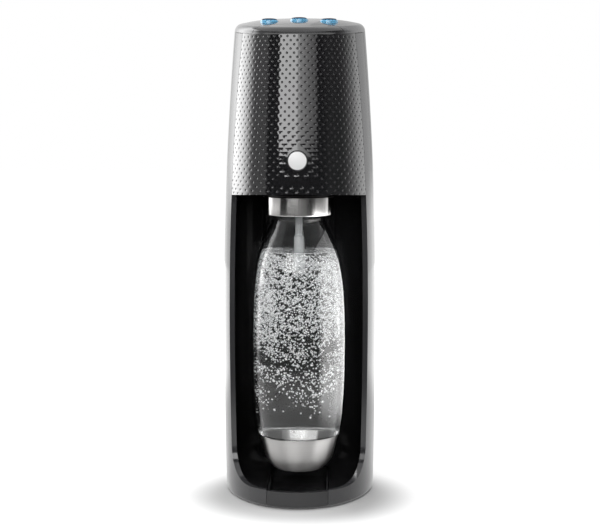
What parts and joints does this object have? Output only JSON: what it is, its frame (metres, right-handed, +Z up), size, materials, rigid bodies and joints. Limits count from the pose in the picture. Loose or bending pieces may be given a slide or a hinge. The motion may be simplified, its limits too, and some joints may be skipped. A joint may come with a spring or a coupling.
{
  "type": "electric soda carbonator",
  "caption": "Slim countertop soda carbonator: tapered head with push buttons over an open bay that holds a clear bottle on a tilting snap-in holder, drip tray below.",
  "frame": {"origin": "centre of the bounding box in plan, at the underside of the feet", "axes": "+Z up, -Y towards the front where the bottle stands, +X to the right seen from the front"},
  "size_m": [0.1322, 0.182, 0.4089],
  "materials": {
    "frame_grey": "polished moulded plastic with a grey sheen",
    "panel_black": "high gloss, fine dimple texture",
    "disc_white": "plain white inlay",
    "cover_grey": "high gloss",
    "gloss_black": "high gloss",
    "matte_black": "moulded, fine grain",
    "rubber_black": "soft, dull",
    "screw_steel": "zinc plated",
    "brushed_steel": "brushed round the axis",
    "machined_steel": "turned and ground",
    "motor_steel": "plain drawn can",
    "brass": "turned",
    "gear_white": "moulded acetal",
    "frame_plastic": "glass filled, dull",
    "block_alloy": "cast and machined",
    "cylinder_grey": "baked enamel",
    "hose_clear": "milky flexible tube",
    "tube_clear": "translucent moulding",
    "bottle_clear": "clear, smooth",
    "button_navy": "high gloss",
    "button_blue": "translucent, bright",
    "board_green": "glass fibre circuit board"
  },
  "bodies": {
    "root": {"front_frame": "frame_grey", "head_panel": "panel_black", "panel_disc": "disc_white", "top_cover": "cover_grey", "alcove_liner": "gloss_black", "head_underplate": "matte_black", "base_plate": "matte_black", "feet": "rubber_black", "base_screws": "screw_steel", "chassis": "frame_plastic", "gearbox_frame": "frame_plastic", "motor": "motor_steel", "lever_pin": "machined_steel", "valve_block": "block_alloy", "valve_seal": "rubber_black", "valve_spring": "machined_steel", "gas_hose": "hose_clear", "holder_pins": "machined_steel", "button_carrier": "frame_plastic", "control_board": "board_green", "power_inlet": "matte_black", "spring_small": "machined_steel", "spring_medium": "machined_steel", "spring_large": "machined_steel"},
    "holder": {"bottle_holder": "matte_black", "steel_collar": "brushed_steel", "snap_claws": "frame_plastic", "bottle_seal": "rubber_black", "nozzle_block": "frame_plastic", "carbonation_tube": "tube_clear"},
    "bottle_set": {"bottle": "bottle_clear", "bottle_cup": "brushed_steel"},
    "tray": {"drip_tray": "gloss_black"},
    "rear_door": {"rear_cover": "gloss_black"},
    "latch": {"rear_latch": "gloss_black"},
    "cylinder": {"gas_cylinder": "cylinder_grey", "cylinder_valve": "brass"},
    "cam_set": {"cam": "gear_white", "cam_gear": "gear_white", "cam_shaft": "machined_steel"},
    "pinion": {"motor_pinion": "brass"},
    "rocker": {"lever": "machined_steel"},
    "valve_rod": {"valve_pin": "machined_steel"},
    "button_small": {"cap_small": "button_navy", "ring_small": "button_blue"},
    "button_medium": {"cap_medium": "button_navy", "ring_medium": "button_blue"},
    "button_large": {"cap_large": "button_navy", "ring_large": "button_blue"}
  },
  "joints": [
    {"name": "holder_tilt", "type": "hinge", "parent": "root", "child": "holder", "pos_m": [0, -0.038, 0.288], "axis": [-1, 0, 0], "range_deg": [0, 12]},
    {"name": "bottle_drop", "type": "slide", "parent": "holder", "child": "bottle_set", "axis": [0, 0, -1], "range_m": [0, 0.006]},
    {"name": "tray_slide", "type": "slide", "parent": "root", "child": "tray", "axis": [0, -1, 0], "range_m": [0, 0.09]},
    {"name": "rear_cover_off", "type": "slide", "parent": "root", "child": "rear_door", "axis": [0, 1, 0], "range_m": [0, 0.06]},
    {"name": "latch_press", "type": "slide", "parent": "rear_door", "child": "latch", "axis": [0, -1, 0], "range_m": [0, 0.002], "stiffness_N_per_m": 500, "springref_m": -0.001},
    {"name": "cylinder_drop", "type": "slide", "parent": "root", "child": "cylinder", "axis": [0, 0, -1], "range_m": [0, 0.012]},
    {"name": "cam_turn", "type": "hinge", "parent": "root", "child": "cam_set", "pos_m": [0, 0.008, 0.362], "axis": [1, 0, 0], "range_deg": [0, 120]},
    {"name": "pinion_spin", "type": "hinge", "parent": "root", "child": "pinion", "pos_m": [0, -0.016, 0.362], "axis": [1, 0, 0], "range_deg": [-361, 1]},
    {"name": "lever_rock", "type": "hinge", "parent": "root", "child": "rocker", "pos_m": [0, 0.033, 0.38], "axis": [-1, 0, 0], "range_deg": [-0.05, 4.9]},
    {"name": "pin_press", "type": "slide", "parent": "root", "child": "valve_rod", "axis": [0, 0, -1], "range_m": [-0.0001, 0.0016], "deforming": ["valve_spring"]},
    {"name": "press_small", "type": "slide", "parent": "root", "child": "button_small", "axis": [0, 0, -1], "range_m": [0, 0.0015], "stiffness_N_per_m": 200, "springref_m": -0.001, "deforming": ["spring_small"]},
    {"name": "press_medium", "type": "slide", "parent": "root", "child": "button_medium", "axis": [0, 0, -1], "range_m": [0, 0.0015], "stiffness_N_per_m": 200, "springref_m": -0.001, "deforming": ["spring_medium"]},
    {"name": "press_large", "type": "slide", "parent": "root", "child": "button_large", "axis": [0, 0, -1], "range_m": [0, 0.0015], "stiffness_N_per_m": 200, "springref_m": -0.001, "deforming": ["spring_large"]}
  ],
  "couplings": [
    {"joint": "pinion_spin", "follows": "cam_turn", "ratio": -3},
    {"joint": "lever_rock", "follows": "cam_turn", "ratio": 0.04015},
    {"joint": "pin_press", "follows": "cam_turn", "m_per_rad": 0.000724}
  ]
}
